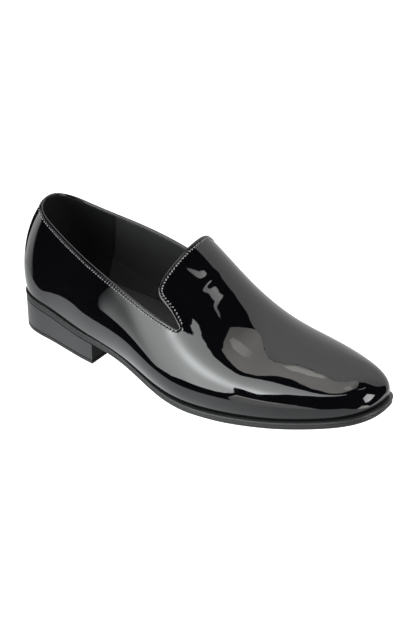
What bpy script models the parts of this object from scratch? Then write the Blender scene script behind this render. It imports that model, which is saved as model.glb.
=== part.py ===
"""Slip-on dress shoe for the right foot: a one-piece upper on a welted sole with a stacked heel.

Lengths are in millimetres, and MM turns them into metres where a mesh is placed. Along the shoe,
x runs from the heel's back to the toe tip, the outer side of the foot is towards -Y, and z is the
height above the floor. ORIGIN then moves the whole shoe so that its box stands centred on zero.
"""
from collections import namedtuple

import bmesh
import bpy
import numpy as np

MM = 0.001
ORIGIN = np.array((149.94, -5.8, 0.0))
OUTER, INNER = -1, 1

# Sole outline
LENGTH = 300.0
HEEL_ROUND_END = 33.0
HEEL_SQUARENESS = 2.5
TOE_ROUND_START = 225.0
TOE_SQUARENESS = 2.56
SWING_START = 120.0
TOE_SWING = 8.55

Width = namedtuple("Width", "x outer inner")
SOLE_WIDTHS = (
    Width(x=0, outer=29.4, inner=29.4),
    Width(x=33, outer=31.6, inner=31.6),
    Width(x=75, outer=39.6, inner=32.0),
    Width(x=120, outer=44.9, inner=33.0),
    Width(x=165, outer=54.4, inner=36.5),
    Width(x=205, outer=53.0, inner=38.9),
    Width(x=240, outer=46.2, inner=36.4),
    Width(x=270, outer=41.5, inner=30.8),
    Width(x=300, outer=42.8, inner=24.6),
)

# Sole seen from the side: heel seat and arch, then toe spring
Height = namedtuple("Height", "x z")
SEAT_AND_ARCH = (
    Height(x=0, z=23.9),
    Height(x=64, z=18.6),
    Height(x=105, z=14.5),
    Height(x=150, z=3.2),
    Height(x=190, z=-0.25),
)
SPRING_START = 182.0
TOE_SPRING = 18.2
SPRING_POWER = 2.3

# Sole layers
GAP = 0.3
OUTSOLE_EDGE = 3.4
OUTSOLE_RECESS = 0.4
OUTSOLE_CHAMFER = 0.7
WELT_TOP = 5.5
WELT_ROUND = 0.9
WELT_EASE = 0.27
WELT_COVER = 4.5
INSOLE_THICKNESS = 2.5
INSOLE_CLEARANCE = 0.8

# Heel
HEEL_BREAST = 85.0
TOP_PIECE = 3.0
HEEL_CHAMFER = 0.5

# Upper
WALL = 1.8
BELLY_LOW = 0.4
UPPER_FOOT = WELT_TOP + GAP
HEEL_PIVOT = 30.0
TOE_FAN_START = 200.0
HEEL_FAN = 0.16
TOE_FAN = 0.66
NOTCH_ROUND = 2.5

Ledge = namedtuple("Ledge", "x width")
WELT_LEDGE = (
    Ledge(x=0, width=1.2),
    Ledge(x=60, width=1.2),
    Ledge(x=110, width=0.5),
    Ledge(x=170, width=2.2),
    Ledge(x=230, width=2.8),
    Ledge(x=300, width=3.0),
)
RIDGE = (
    Height(x=30, z=112.0),
    Height(x=80, z=121.8),
    Height(x=120, z=118.1),
    Height(x=150, z=105.0),
    Height(x=180, z=80.8),
    Height(x=215, z=59.1),
    Height(x=250, z=50.1),
    Height(x=270, z=47.1),
)
# A rib runs up the last from the welt to the ridge; u is 0 at the heel's back and 1 at the toe tip.
Rib = namedtuple("Rib", "u flare belly shoulder rise crown")
RIBS = (
    Rib(u=0.00, flare=2.8, belly=37.2, shoulder=0.862, rise=0.903, crown=2.0),
    Rib(u=0.16, flare=3.7, belly=43.1, shoulder=0.896, rise=0.954, crown=4.0),
    Rib(u=0.30, flare=7.2, belly=45.1, shoulder=0.970, rise=0.918, crown=10.0),
    Rib(u=0.42, flare=9.2, belly=38.6, shoulder=0.984, rise=0.827, crown=16.0),
    Rib(u=0.54, flare=7.0, belly=26.8, shoulder=0.972, rise=0.746, crown=18.0),
    Rib(u=0.66, flare=4.3, belly=21.4, shoulder=0.964, rise=0.744, crown=16.5),
    Rib(u=0.83, flare=1.7, belly=14.8, shoulder=0.962, rise=0.802, crown=12.9),
    Rib(u=1.00, flare=1.0, belly=11.5, shoulder=0.948, rise=0.788, crown=8.9),
)
Collar = namedtuple("Collar", "u z")
COLLAR = (
    Collar(u=0.00, z=101.3),
    Collar(u=0.10, z=92.7),
    Collar(u=0.22, z=84.4),
    Collar(u=0.40, z=70.8),
    Collar(u=0.55, z=56.2),
)
TabEdge = namedtuple("TabEdge", "z x")
TAB_EDGE = (
    TabEdge(z=59.6, x=165.0),
    TabEdge(z=64.0, x=161.2),
    TabEdge(z=70.0, x=155.0),
    TabEdge(z=76.0, x=146.9),
    TabEdge(z=82.0, x=144.0),
    TabEdge(z=90.0, x=145.3),
    TabEdge(z=105.0, x=151.0),
)

# Mesh density
OUTLINE_STEPS = 44
HEEL_STEPS = 18
HEEL_COLUMNS = 11
COLLAR_COLUMNS = 15
VAMP_COLUMNS = 26
QUARTER_ROWS = 7
VAMP_ROWS = 8
WELD = 1e-6
HALVINGS = 40
SHARP_ANGLE = 35.0


class Curve:
    """A cubic spline through rows of numbers; its ends are free unless they are kept level."""

    def __init__(self, xs, ys, level_start=False, level_end=False):
        self.x = np.array(xs, float)
        self.y = np.array(ys, float)
        step = np.diff(self.x)
        rise = np.diff(self.y) / step
        count = len(self.x)
        matrix = np.eye(count)
        target = np.zeros(count)
        for i in range(1, count - 1):
            matrix[i, i - 1:i + 2] = step[i - 1], 2 * (step[i - 1] + step[i]), step[i]
            target[i] = 6 * (rise[i] - rise[i - 1])
        if level_start:
            matrix[0, :2] = 2 * step[0], step[0]
            target[0] = 6 * rise[0]
        if level_end:
            matrix[-1, -2:] = step[-1], 2 * step[-1]
            target[-1] = -6 * rise[-1]
        self.bend = np.linalg.solve(matrix, target)

    def span(self, at):
        at = np.clip(np.asarray(at, float), self.x[0], self.x[-1])
        i = np.clip(np.searchsorted(self.x, at) - 1, 0, len(self.x) - 2)
        step = self.x[i + 1] - self.x[i]
        return i, step, (at - self.x[i]) / step

    def __call__(self, at):
        i, step, b = self.span(at)
        a = 1 - b
        sag = (a ** 3 - a) * self.bend[i] + (b ** 3 - b) * self.bend[i + 1]
        return a * self.y[i] + b * self.y[i + 1] + step ** 2 / 6 * sag

    def slope(self, at):
        i, step, b = self.span(at)
        a = 1 - b
        turn = (1 - 3 * a * a) * self.bend[i] + (3 * b * b - 1) * self.bend[i + 1]
        return (self.y[i + 1] - self.y[i]) / step + step / 6 * turn


def column(rows, name):
    return [getattr(row, name) for row in rows]


def curve(rows, across, along, level_start=False, level_end=False):
    return Curve(column(rows, across), column(rows, along), level_start, level_end)


def rib_curve(name):
    return curve(RIBS, "u", name, level_start=True, level_end=True)


outer_width = curve(SOLE_WIDTHS, "x", "outer")
inner_width = curve(SOLE_WIDTHS, "x", "inner")
seat_and_arch = curve(SEAT_AND_ARCH, "x", "z", level_start=True, level_end=True)
welt_ledge = curve(WELT_LEDGE, "x", "width")
ridge = curve(RIDGE, "x", "z")
rib_flare = rib_curve("flare")
rib_belly = rib_curve("belly")
rib_shoulder = rib_curve("shoulder")
rib_rise = rib_curve("rise")
rib_crown = rib_curve("crown")
collar_height = curve(COLLAR, "u", "z", level_start=True)
tab_edge = curve(TAB_EDGE, "z", "x")

# Ribs move along the shoe at an even pace between the fans that turn round the heel and the toe.
PACE = (TOE_FAN_START - HEEL_PIVOT) / (TOE_FAN - 0.5 * HEEL_FAN)
HEEL_FAN_END = HEEL_PIVOT + 0.5 * PACE * HEEL_FAN
TOE_FAN_REACH = PACE * (1 - TOE_FAN) * 2 / np.pi


def sole_bottom(x):
    """The line that all layers follow: heel seat and arch, then toe spring, just under the floor between."""
    spring = np.clip((np.asarray(x, float) - SPRING_START) / (LENGTH - SPRING_START), 0, 1)
    return seat_and_arch(x) + TOE_SPRING * spring ** SPRING_POWER


def centre_line(x):
    """The toe swings towards the inner side of the foot."""
    t = np.clip((np.asarray(x, float) - SWING_START) / (LENGTH - SWING_START), 0, 1)
    return TOE_SWING * t * t * (3 - 2 * t)


def half_width(x, inset, side):
    """Half width of the sole on one side, rounded off at heel and toe, drawn in by an inset."""
    heel = np.clip((HEEL_ROUND_END - x) / (HEEL_ROUND_END - inset), 0, 1)
    toe = np.clip((x - TOE_ROUND_START) / (LENGTH - inset - TOE_ROUND_START), 0, 1)
    heel_round = (1 - heel ** HEEL_SQUARENESS) ** (1 / HEEL_SQUARENESS)
    toe_round = (1 - toe ** TOE_SQUARENESS) ** (1 / TOE_SQUARENESS)
    width = np.where(np.asarray(side) < 0, outer_width(x), inner_width(x))
    return (width - inset) * heel_round * toe_round


def rib_axis(u):
    """Place on the centre line and turn of each rib."""
    heel = np.clip(u / HEEL_FAN, 0, 1)
    toe = np.clip((u - TOE_FAN) / (1 - TOE_FAN), 0, 1)
    heel_turn = (15 * heel - 10 * heel ** 3 + 3 * heel ** 5) / 8
    toe_turn = (10 * toe ** 3 - 3 * toe ** 5) / 7
    x = HEEL_PIVOT + PACE * HEEL_FAN * (heel ** 3 - heel ** 4 / 2)
    x = x + PACE * np.clip(u - HEEL_FAN, 0, TOE_FAN - HEEL_FAN)
    x = x + TOE_FAN_REACH * np.sin(np.pi / 2 * toe)
    return x, np.pi / 2 * (heel_turn + toe_turn)


def rib_at(x):
    return HEEL_FAN + (x - HEEL_FAN_END) / PACE


def rib_foot(x, y, dx, dy, side):
    """Distance from each rib's axis to the line where the upper meets the welt."""
    near = np.zeros_like(x)
    far = np.full_like(x, LENGTH)
    for _ in range(HALVINGS):
        reach = (near + far) / 2
        px = x + dx * reach
        off = y + dy * reach - centre_line(px)
        inset = welt_ledge(px)
        inside = (px > inset) & (px < LENGTH - inset)
        held = np.clip(px, inset, LENGTH - inset)
        facing = np.where(np.abs(off) < WELD, side, off)
        inside &= np.abs(off) < half_width(held, inset, facing)
        near = np.where(inside, reach, near)
        far = np.where(inside, far, reach)
    return (near + far) / 2


QUINTIC = (1, 5, 10, 10, 5, 1)


def upper_point(u, v, side):
    """A point of the upper's outer face: rib u, and v from the welt (0) to the ridge (1)."""
    u, v = np.broadcast_arrays(np.asarray(u, float), np.asarray(v, float))
    x, turn = rib_axis(u)
    y = centre_line(x)
    dx = -np.cos(turn)
    dy = side * np.sin(turn)
    foot = rib_foot(x, y, dx, dy, side)
    foot_z = sole_bottom(x + dx * foot) + UPPER_FOOT
    top_z = ridge(x)
    flare, belly, crown = rib_flare(u), rib_belly(u), rib_crown(u)
    out = (foot, foot + flare, foot + flare, foot * rib_shoulder(u), crown, 0 * foot)
    up = (
        foot_z,
        foot_z + BELLY_LOW * belly,
        foot_z + belly,
        foot_z + rib_rise(u) * (top_z - foot_z),
        top_z + ridge.slope(x) * dx * crown,
        top_z,
    )
    reach = 0 * foot
    z = 0 * foot
    for k, share in enumerate(QUINTIC):
        weight = share * v ** k * (1 - v) ** (len(QUINTIC) - 1 - k)
        reach = reach + weight * out[k]
        z = z + weight * up[k]
    return np.stack((x + dx * reach, y + dy * reach, z), axis=-1)


def rib_height(u, z, side):
    """The v at which each rib reaches a height."""
    low = np.zeros_like(u)
    high = np.ones_like(u)
    for _ in range(HALVINGS):
        v = (low + high) / 2
        below = upper_point(u, v, side)[..., 2] < z
        low = np.where(below, v, low)
        high = np.where(below, high, v)
    return (low + high) / 2


NOTCH_U = rib_at(TAB_EDGE[0].x)


def collar_z(u):
    """Topline height; its last stretch turns up round the foot of the notch."""
    round_u = NOTCH_ROUND / PACE
    t = np.clip((u - NOTCH_U + round_u) / round_u, 0, 1)
    return collar_height(u) + NOTCH_ROUND * (1 - np.sqrt(1 - t ** 2))


def quarter_points(side):
    """Rows from the welt up to the collar, and in front of the notch up to the notch's height."""
    heel_u = np.linspace(0, HEEL_FAN, HEEL_COLUMNS + 1)[:-1]
    ease = np.sin(np.pi / 2 * np.linspace(0, 1, COLLAR_COLUMNS + 1))
    collar_u = np.concatenate((heel_u, HEEL_FAN + (NOTCH_U - HEEL_FAN) * ease))
    collar_v = rib_height(collar_u, collar_z(collar_u), side)
    vamp_u = NOTCH_U + (1 - NOTCH_U) * np.linspace(0, 1, VAMP_COLUMNS + 1)[1:]
    u = np.concatenate((collar_u, vamp_u))
    v_top = np.concatenate((collar_v, np.full(VAMP_COLUMNS, collar_v[-1])))
    t = np.linspace(0, 1, QUARTER_ROWS + 1)[:, None]
    return upper_point(u[None], t * v_top[None], side), collar_v[-1]


def vamp_points(side, notch_v):
    """Rows above the notch, from the tab's edge to the toe, closing on the ridge."""
    v = notch_v + (1 - notch_v) * np.linspace(0, 1, VAMP_ROWS + 1)
    edge_u = np.full(v.shape, NOTCH_U)
    for _ in range(HALVINGS):
        edge_u = rib_at(tab_edge(upper_point(edge_u, v, side)[:, 2]))
    edge_u[0] = NOTCH_U
    c = np.linspace(0, 1, VAMP_COLUMNS + 1)[None]
    u = edge_u[:, None] + (1 - edge_u[:, None]) * c
    return upper_point(u, v[:, None], side)


def outline(inset, height, x_end=LENGTH, steps=OUTLINE_STEPS, end_inset=None):
    """A ring round the sole: along the outer side to the toe and back along the inner side."""
    start = float(np.asarray(inset(0.0)))
    stop = x_end - (float(np.asarray(inset(LENGTH))) if end_inset is None else end_inset)
    sweep = np.pi if end_inset is None else np.pi / 2
    share = (1 - np.cos(np.linspace(0, sweep, steps + 1))) / (1 - np.cos(sweep))
    x = start + (stop - start) * share
    sides = []
    for side in (OUTER, INNER):
        half = half_width(x, inset(x), side)
        half[0] = 0
        if end_inset is None:
            half[-1] = 0
        sides.append(np.stack((x, centre_line(x) + side * half, height(x)), axis=-1))
    return sides


def ring(sides):
    return np.concatenate((sides[0], sides[1][::-1]))


def inset_by(extra, with_ledge=False):
    if with_ledge:
        return lambda x: welt_ledge(x) + extra
    return lambda x: extra + 0 * np.asarray(x, float)


def above_sole(lift):
    return lambda x: sole_bottom(x) + lift


def above_tread(lift):
    """The outsole's underside is flat where it stands on the floor."""
    return lambda x: np.maximum(sole_bottom(x), 0) + lift


def at_level(z):
    return lambda x: z + 0 * np.asarray(x, float)


def add_grid(mesh, points):
    """Lay a grid of faces through an array of points."""
    rows, columns = points.shape[0] - 1, points.shape[1] - 1
    made = bmesh.ops.create_grid(mesh, x_segments=columns, y_segments=rows, size=1.0)
    for vertex in made["verts"]:
        j = round((vertex.co.x + 1) / 2 * columns)
        i = round((vertex.co.y + 1) / 2 * rows)
        vertex.co = (points[i, j] - ORIGIN) * MM


def add_walls(mesh, rings, close=False):
    loops = [np.concatenate((r, r[:1])) for r in rings]
    if close:
        loops.append(loops[0])
    add_grid(mesh, np.stack(loops))


def add_cap(mesh, sides):
    add_grid(mesh, np.stack(sides))


def finish_mesh(mesh, name):
    bmesh.ops.remove_doubles(mesh, verts=mesh.verts, dist=WELD)
    bmesh.ops.dissolve_degenerate(mesh, edges=mesh.edges, dist=WELD)
    bmesh.ops.recalc_face_normals(mesh, faces=mesh.faces)
    data = bpy.data.meshes.new(name)
    mesh.to_mesh(data)
    mesh.free()
    return data


def solid(sections, name):
    """A closed solid lofted through outlines, capped at the first and last one."""
    mesh = bmesh.new()
    add_walls(mesh, [ring(sides) for sides in sections])
    add_cap(mesh, sections[0])
    add_cap(mesh, sections[-1])
    return finish_mesh(mesh, name)


def upper_mesh():
    mesh = bmesh.new()
    for side in (OUTER, INNER):
        quarter, notch_v = quarter_points(side)
        add_grid(mesh, quarter)
        add_grid(mesh, vamp_points(side, notch_v))
    return finish_mesh(mesh, "upper")


def outsole_mesh():
    edge = inset_by(OUTSOLE_RECESS)
    tread = inset_by(OUTSOLE_RECESS + OUTSOLE_CHAMFER)
    plateau = inset_by(WELT_COVER + GAP, with_ledge=True)
    return solid([
        outline(tread, above_tread(0.0)),
        outline(edge, above_tread(OUTSOLE_CHAMFER)),
        outline(edge, above_sole(OUTSOLE_EDGE)),
        outline(plateau, above_sole(OUTSOLE_EDGE)),
        outline(plateau, above_sole(WELT_TOP)),
    ], "outsole")


def welt_mesh():
    bottom = OUTSOLE_EDGE + GAP
    edge = inset_by(0.0)
    eased = inset_by(WELT_EASE)
    ledge = inset_by(WELT_ROUND)
    hidden = inset_by(WELT_COVER, with_ledge=True)
    sections = [
        outline(edge, above_sole(bottom)),
        outline(edge, above_sole(WELT_TOP - WELT_ROUND)),
        outline(eased, above_sole(WELT_TOP - WELT_EASE)),
        outline(ledge, above_sole(WELT_TOP)),
        outline(hidden, above_sole(WELT_TOP)),
        outline(hidden, above_sole(bottom)),
    ]
    mesh = bmesh.new()
    add_walls(mesh, [ring(sides) for sides in sections], close=True)
    return finish_mesh(mesh, "welt")


def insole_mesh():
    plan = inset_by(WALL + INSOLE_CLEARANCE, with_ledge=True)
    bottom = WELT_TOP + GAP
    return solid([
        outline(plan, above_sole(bottom)),
        outline(plan, above_sole(bottom + INSOLE_THICKNESS)),
    ], "insole")


def heel_outline(inset, height):
    return outline(inset_by(inset), height, HEEL_BREAST, HEEL_STEPS, end_inset=inset)


def heel_block_mesh():
    return solid([
        heel_outline(OUTSOLE_RECESS, at_level(TOP_PIECE + GAP)),
        heel_outline(OUTSOLE_RECESS, above_sole(-GAP)),
    ], "heel_block")


def heel_top_piece_mesh():
    return solid([
        heel_outline(OUTSOLE_RECESS + HEEL_CHAMFER, at_level(0.0)),
        heel_outline(OUTSOLE_RECESS, at_level(HEEL_CHAMFER)),
        heel_outline(OUTSOLE_RECESS, at_level(TOP_PIECE)),
    ], "heel_top_piece")


Finish = namedtuple("Finish", "colour roughness")
FINISHES = {
    "upper": Finish(colour=(0.006, 0.006, 0.008), roughness=0.05),
    "insole": Finish(colour=(0.030, 0.030, 0.032), roughness=0.60),
    "welt": Finish(colour=(0.055, 0.056, 0.060), roughness=0.40),
    "outsole": Finish(colour=(0.030, 0.031, 0.034), roughness=0.50),
    "heel_block": Finish(colour=(0.070, 0.071, 0.075), roughness=0.35),
    "heel_top_piece": Finish(colour=(0.025, 0.026, 0.028), roughness=0.60),
}


def add_piece(name, data, collection):
    finish = FINISHES[name]
    material = bpy.data.materials.new(name)
    material.use_nodes = True
    shader = material.node_tree.nodes["Principled BSDF"]
    shader.inputs["Base Color"].default_value = (*finish.colour, 1.0)
    shader.inputs["Roughness"].default_value = finish.roughness
    shader.inputs["Metallic"].default_value = 0.0
    data.materials.append(material)
    data.shade_smooth()
    data.set_sharp_from_angle(angle=np.radians(SHARP_ANGLE))
    piece = bpy.data.objects.new(name, data)
    collection.objects.link(piece)
    return piece


def main():
    for old in list(bpy.data.objects):
        bpy.data.objects.remove(old)
    collection = bpy.data.collections.new("slip_on_shoe")
    bpy.context.scene.collection.children.link(collection)
    upper = add_piece("upper", upper_mesh(), collection)
    shell = upper.modifiers.new("wall", "SOLIDIFY")
    shell.thickness = WALL * MM
    shell.offset = -1.0
    shell.use_even_offset = True
    add_piece("insole", insole_mesh(), collection)
    add_piece("welt", welt_mesh(), collection)
    add_piece("outsole", outsole_mesh(), collection)
    add_piece("heel_block", heel_block_mesh(), collection)
    add_piece("heel_top_piece", heel_top_piece_mesh(), collection)


main()
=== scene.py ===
"""Looks of a black patent slip-on dress shoe for the right foot.

Lengths in the tables are millimetres on the last: x runs from the heel's back to the toe tip, the
outer side of the foot is towards -Y, and z is the height above the floor. ORIGIN and MM turn them
into the frame's metres.
"""
from collections import namedtuple

import bmesh
import bpy
import numpy as np
from mathutils import Matrix, Vector, noise


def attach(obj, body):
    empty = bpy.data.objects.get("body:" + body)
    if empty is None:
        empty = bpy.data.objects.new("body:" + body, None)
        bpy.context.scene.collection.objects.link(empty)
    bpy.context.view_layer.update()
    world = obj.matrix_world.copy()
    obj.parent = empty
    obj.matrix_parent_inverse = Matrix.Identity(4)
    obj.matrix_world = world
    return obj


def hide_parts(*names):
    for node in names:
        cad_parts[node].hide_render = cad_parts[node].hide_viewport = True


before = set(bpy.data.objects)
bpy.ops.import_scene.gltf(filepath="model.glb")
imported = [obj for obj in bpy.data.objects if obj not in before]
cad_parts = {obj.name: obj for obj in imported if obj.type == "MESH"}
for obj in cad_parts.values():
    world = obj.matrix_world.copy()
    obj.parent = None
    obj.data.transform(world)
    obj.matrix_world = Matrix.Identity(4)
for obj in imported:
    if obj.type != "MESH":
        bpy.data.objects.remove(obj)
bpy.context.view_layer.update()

MM = 0.001
ORIGIN = np.array((149.94, -5.8, 0.0))
OUTER, INNER = -1, 1
WELD = 5e-6
HALVINGS = 40

# Sole outline and profile
LENGTH = 300.0
HEEL_ROUND_END = 33.0
HEEL_SQUARENESS = 2.5
TOE_ROUND_START = 225.0
TOE_SQUARENESS = 2.56
SWING_START = 120.0
TOE_SWING = 8.55
SPRING_START = 182.0
TOE_SPRING = 18.2
SPRING_POWER = 2.3

Width = namedtuple("Width", "x outer inner")
SOLE_WIDTHS = (
    Width(x=0, outer=29.4, inner=29.4),
    Width(x=33, outer=31.6, inner=31.6),
    Width(x=75, outer=39.6, inner=32.0),
    Width(x=120, outer=44.9, inner=33.0),
    Width(x=165, outer=54.4, inner=36.5),
    Width(x=205, outer=53.0, inner=38.9),
    Width(x=240, outer=46.2, inner=36.4),
    Width(x=270, outer=41.5, inner=30.8),
    Width(x=300, outer=42.8, inner=24.6),
)
Height = namedtuple("Height", "x z")
SEAT_AND_ARCH = (
    Height(x=0, z=23.9),
    Height(x=64, z=18.6),
    Height(x=105, z=14.5),
    Height(x=150, z=3.2),
    Height(x=190, z=-0.25),
)

# Sole layers
GAP = 0.3
OUTSOLE_EDGE = 3.4
OUTSOLE_RECESS = 0.4
OUTSOLE_CHAMFER = 0.7
WELT_TOP = 5.5
WELT_ROUND = 0.9
WELT_COVER = 4.5
INSOLE_THICKNESS = 2.5
INSOLE_CLEARANCE = 0.8
HEEL_BREAST = 85.0
TOP_PIECE = 3.0
HEEL_CHAMFER = 0.5
HEEL_EASE = 0.3
BREAST_FACING = 0.7

# Rounded edges of the sole's layers: how far in and how far down each section lies
CHAMFER_SHARE = 0.3
OUTSOLE_LIP = 0.4
OUTSOLE_LIP_MID_IN = 0.15
OUTSOLE_LIP_MID_DOWN = 0.1
WELT_UNDER_IN = 0.35
WELT_UNDER_MID_IN = 0.08
WELT_UNDER_MID_UP = 0.15
WELT_UNDER_UP = 0.45
WELT_ROUND_MID = 0.27
SOCK_ROUND_DOWN = 0.6
SOCK_ROUND_MID = 0.2
SOCK_ROUND_IN = 0.7

# Fineness of the meshes
SOLE_STEPS = 160
HEEL_STEPS = 60
CAP_ROWS = 12
SHARP_DEGREES = 40

# Upper
WALL = 1.8
BELLY_LOW = 0.4
UPPER_FOOT = WELT_TOP + GAP
HEEL_PIVOT = 30.0
TOE_FAN_START = 200.0
HEEL_FAN = 0.16
TOE_FAN = 0.66
NOTCH_ROUND = 2.5
TILT = 4e-4
POLE_SHARE = 0.02

Ledge = namedtuple("Ledge", "x width")
WELT_LEDGE = (
    Ledge(x=0, width=1.2),
    Ledge(x=60, width=1.2),
    Ledge(x=110, width=0.5),
    Ledge(x=170, width=2.2),
    Ledge(x=230, width=2.8),
    Ledge(x=300, width=3.0),
)
RIDGE = (
    Height(x=30, z=112.0),
    Height(x=80, z=121.8),
    Height(x=120, z=118.1),
    Height(x=150, z=105.0),
    Height(x=180, z=80.8),
    Height(x=215, z=59.1),
    Height(x=250, z=50.1),
    Height(x=270, z=47.1),
)
Rib = namedtuple("Rib", "u flare belly shoulder rise crown")
RIBS = (
    Rib(u=0.00, flare=2.8, belly=37.2, shoulder=0.862, rise=0.903, crown=2.0),
    Rib(u=0.16, flare=3.7, belly=43.1, shoulder=0.896, rise=0.954, crown=4.0),
    Rib(u=0.30, flare=7.2, belly=45.1, shoulder=0.970, rise=0.918, crown=10.0),
    Rib(u=0.42, flare=9.2, belly=38.6, shoulder=0.984, rise=0.827, crown=16.0),
    Rib(u=0.54, flare=7.0, belly=26.8, shoulder=0.972, rise=0.746, crown=18.0),
    Rib(u=0.66, flare=4.3, belly=21.4, shoulder=0.964, rise=0.744, crown=16.5),
    Rib(u=0.83, flare=1.7, belly=14.8, shoulder=0.962, rise=0.802, crown=12.9),
    Rib(u=1.00, flare=1.0, belly=11.5, shoulder=0.948, rise=0.788, crown=8.9),
)
Collar = namedtuple("Collar", "u z")
COLLAR = (
    Collar(u=0.00, z=101.3),
    Collar(u=0.10, z=92.7),
    Collar(u=0.22, z=84.4),
    Collar(u=0.40, z=70.8),
    Collar(u=0.55, z=56.2),
)
TabEdge = namedtuple("TabEdge", "z x")
TAB_EDGE = (
    TabEdge(z=59.6, x=165.0),
    TabEdge(z=64.0, x=161.2),
    TabEdge(z=70.0, x=155.0),
    TabEdge(z=76.0, x=146.9),
    TabEdge(z=82.0, x=144.0),
    TabEdge(z=90.0, x=145.3),
    TabEdge(z=105.0, x=151.0),
)


class Curve:
    """A cubic spline through rows of numbers; its ends are free unless they are kept level."""

    def __init__(self, xs, ys, level_start=False, level_end=False):
        self.x = np.array(xs, float)
        self.y = np.array(ys, float)
        step = np.diff(self.x)
        rise = np.diff(self.y) / step
        count = len(self.x)
        matrix = np.eye(count)
        target = np.zeros(count)
        for i in range(1, count - 1):
            matrix[i, i - 1:i + 2] = step[i - 1], 2 * (step[i - 1] + step[i]), step[i]
            target[i] = 6 * (rise[i] - rise[i - 1])
        if level_start:
            matrix[0, :2] = 2 * step[0], step[0]
            target[0] = 6 * rise[0]
        if level_end:
            matrix[-1, -2:] = step[-1], 2 * step[-1]
            target[-1] = -6 * rise[-1]
        self.bend = np.linalg.solve(matrix, target)

    def span(self, at):
        at = np.clip(np.asarray(at, float), self.x[0], self.x[-1])
        i = np.clip(np.searchsorted(self.x, at) - 1, 0, len(self.x) - 2)
        step = self.x[i + 1] - self.x[i]
        return i, step, (at - self.x[i]) / step

    def __call__(self, at):
        i, step, b = self.span(at)
        a = 1 - b
        sag = (a ** 3 - a) * self.bend[i] + (b ** 3 - b) * self.bend[i + 1]
        return a * self.y[i] + b * self.y[i + 1] + step ** 2 / 6 * sag

    def slope(self, at):
        i, step, b = self.span(at)
        a = 1 - b
        turn = (1 - 3 * a * a) * self.bend[i] + (3 * b * b - 1) * self.bend[i + 1]
        return (self.y[i + 1] - self.y[i]) / step + step / 6 * turn


def column(rows, name):
    return [getattr(row, name) for row in rows]


def curve(rows, across, along, level_start=False, level_end=False):
    return Curve(column(rows, across), column(rows, along), level_start, level_end)


def rib_curve(name):
    return curve(RIBS, "u", name, level_start=True, level_end=True)


outer_width = curve(SOLE_WIDTHS, "x", "outer")
inner_width = curve(SOLE_WIDTHS, "x", "inner")
seat_and_arch = curve(SEAT_AND_ARCH, "x", "z", level_start=True, level_end=True)
welt_ledge = curve(WELT_LEDGE, "x", "width")
ridge = curve(RIDGE, "x", "z")
rib_flare = rib_curve("flare")
rib_belly = rib_curve("belly")
rib_shoulder = rib_curve("shoulder")
rib_rise = rib_curve("rise")
rib_crown = rib_curve("crown")
collar_height = curve(COLLAR, "u", "z", level_start=True)
tab_edge = curve(TAB_EDGE, "z", "x")

PACE = (TOE_FAN_START - HEEL_PIVOT) / (TOE_FAN - 0.5 * HEEL_FAN)
HEEL_FAN_END = HEEL_PIVOT + 0.5 * PACE * HEEL_FAN
TOE_FAN_REACH = PACE * (1 - TOE_FAN) * 2 / np.pi
QUINTIC = (1, 5, 10, 10, 5, 1)


def sole_bottom(x):
    spring = np.clip((np.asarray(x, float) - SPRING_START) / (LENGTH - SPRING_START), 0, 1)
    return seat_and_arch(x) + TOE_SPRING * spring ** SPRING_POWER


def centre_line(x):
    t = np.clip((np.asarray(x, float) - SWING_START) / (LENGTH - SWING_START), 0, 1)
    return TOE_SWING * t * t * (3 - 2 * t)


def half_width(x, inset, side):
    heel = np.clip((HEEL_ROUND_END - x) / (HEEL_ROUND_END - inset), 0, 1)
    toe = np.clip((x - TOE_ROUND_START) / (LENGTH - inset - TOE_ROUND_START), 0, 1)
    heel_round = (1 - heel ** HEEL_SQUARENESS) ** (1 / HEEL_SQUARENESS)
    toe_round = (1 - toe ** TOE_SQUARENESS) ** (1 / TOE_SQUARENESS)
    width = np.where(np.asarray(side) < 0, outer_width(x), inner_width(x))
    return (width - inset) * heel_round * toe_round


def rib_axis(u):
    heel = np.clip(u / HEEL_FAN, 0, 1)
    toe = np.clip((u - TOE_FAN) / (1 - TOE_FAN), 0, 1)
    heel_turn = (15 * heel - 10 * heel ** 3 + 3 * heel ** 5) / 8
    toe_turn = (10 * toe ** 3 - 3 * toe ** 5) / 7
    x = HEEL_PIVOT + PACE * HEEL_FAN * (heel ** 3 - heel ** 4 / 2)
    x = x + PACE * np.clip(u - HEEL_FAN, 0, TOE_FAN - HEEL_FAN)
    x = x + TOE_FAN_REACH * np.sin(np.pi / 2 * toe)
    return x, np.pi / 2 * (heel_turn + toe_turn)


def rib_at(x):
    return HEEL_FAN + (x - HEEL_FAN_END) / PACE


def rib_foot(x, y, dx, dy, side):
    near = np.zeros_like(x)
    far = np.full_like(x, LENGTH)
    for _ in range(HALVINGS):
        reach = (near + far) / 2
        px = x + dx * reach
        off = y + dy * reach - centre_line(px)
        inset = welt_ledge(px)
        inside = (px > inset) & (px < LENGTH - inset)
        held = np.clip(px, inset, LENGTH - inset)
        facing = np.where(np.abs(off) < WELD, side, off)
        inside &= np.abs(off) < half_width(held, inset, facing)
        near = np.where(inside, reach, near)
        far = np.where(inside, far, reach)
    return (near + far) / 2


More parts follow.
